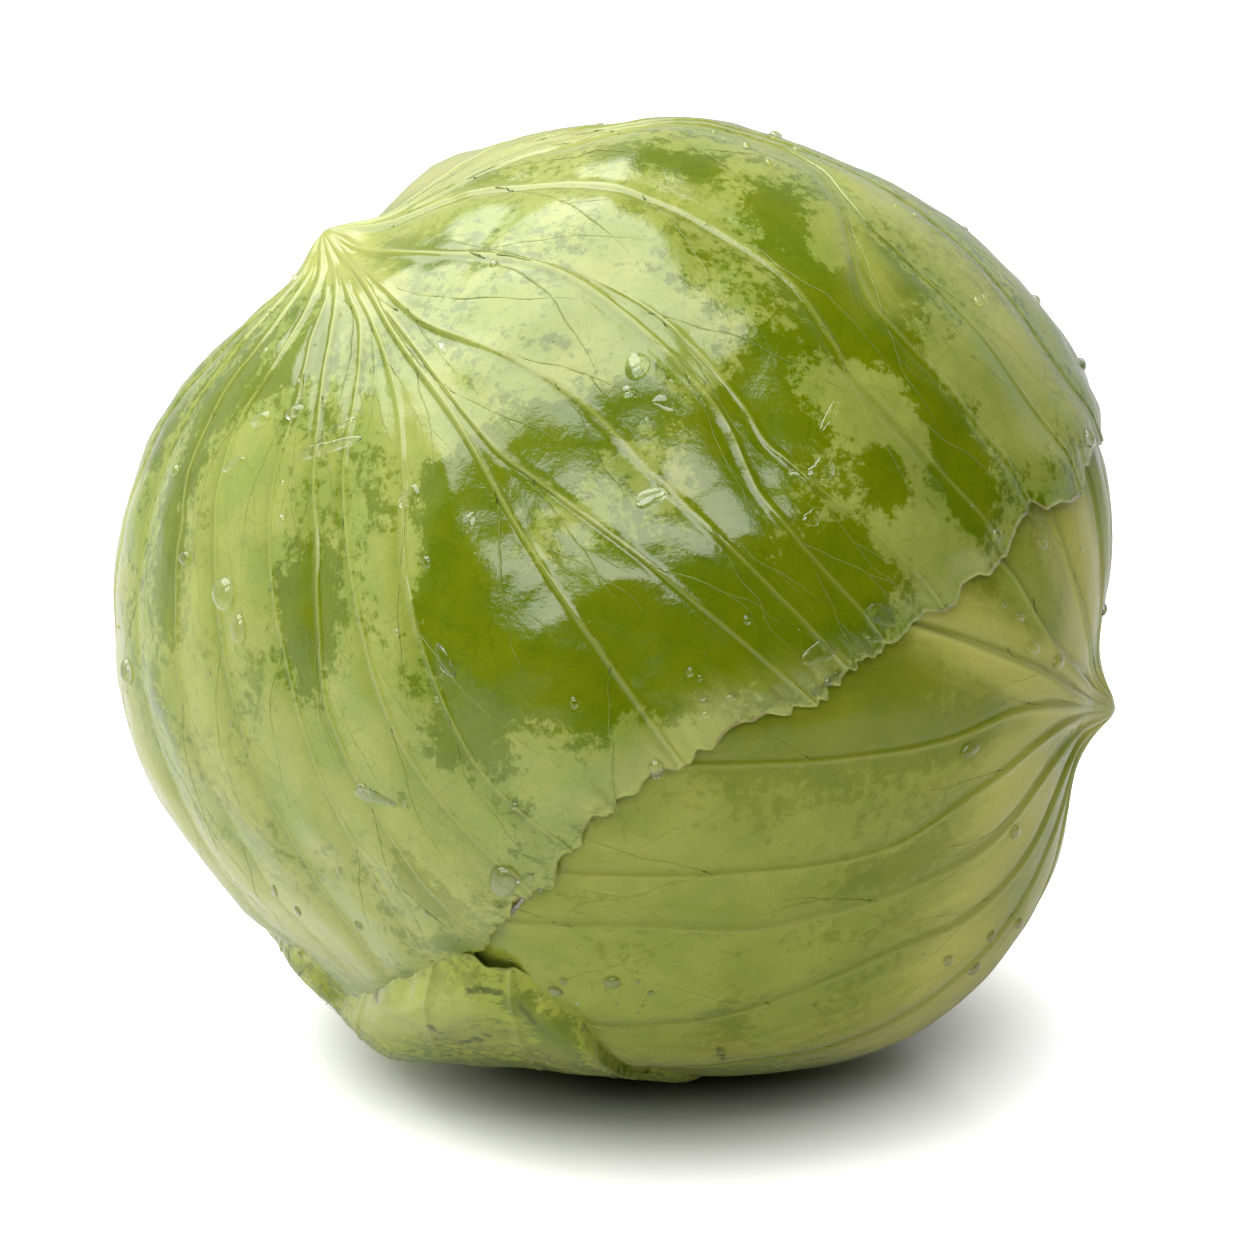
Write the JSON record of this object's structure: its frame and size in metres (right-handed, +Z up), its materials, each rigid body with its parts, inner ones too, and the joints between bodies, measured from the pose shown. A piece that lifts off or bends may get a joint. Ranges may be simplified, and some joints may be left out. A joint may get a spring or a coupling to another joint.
{
  "type": "cabbage head",
  "caption": "Whole head of white cabbage lying on its side: a dense heart on a cut stem, wrapped in ribbed outer leaves with waved edges.",
  "frame": {"origin": "middle of the base of the box round the head, on the surface that it lies on", "axes": "+Z is up from that surface, the cut stem points back towards +Y, a little towards +X and a little up, and the closed tip of the head faces -Y, a little down"},
  "size_m": [0.18, 0.1734, 0.1736],
  "materials": {
    "front_leaf": "living leaf, mid green, waxy, half gloss",
    "right_leaf": "living leaf, olive green, waxy, duller",
    "low_leaf": "living leaf, pale yellow green, with brown marks at its edge",
    "heart": "tightly wrapped pale green leaves",
    "stem_stump": "cut stem, off-white, drying at the cut"
  },
  "bodies": {
    "root": {"heart": "heart", "stem_stump": "stem_stump", "right_leaf": "right_leaf", "front_leaf": "front_leaf", "low_leaf": "low_leaf"}
  },
  "joints": []
}
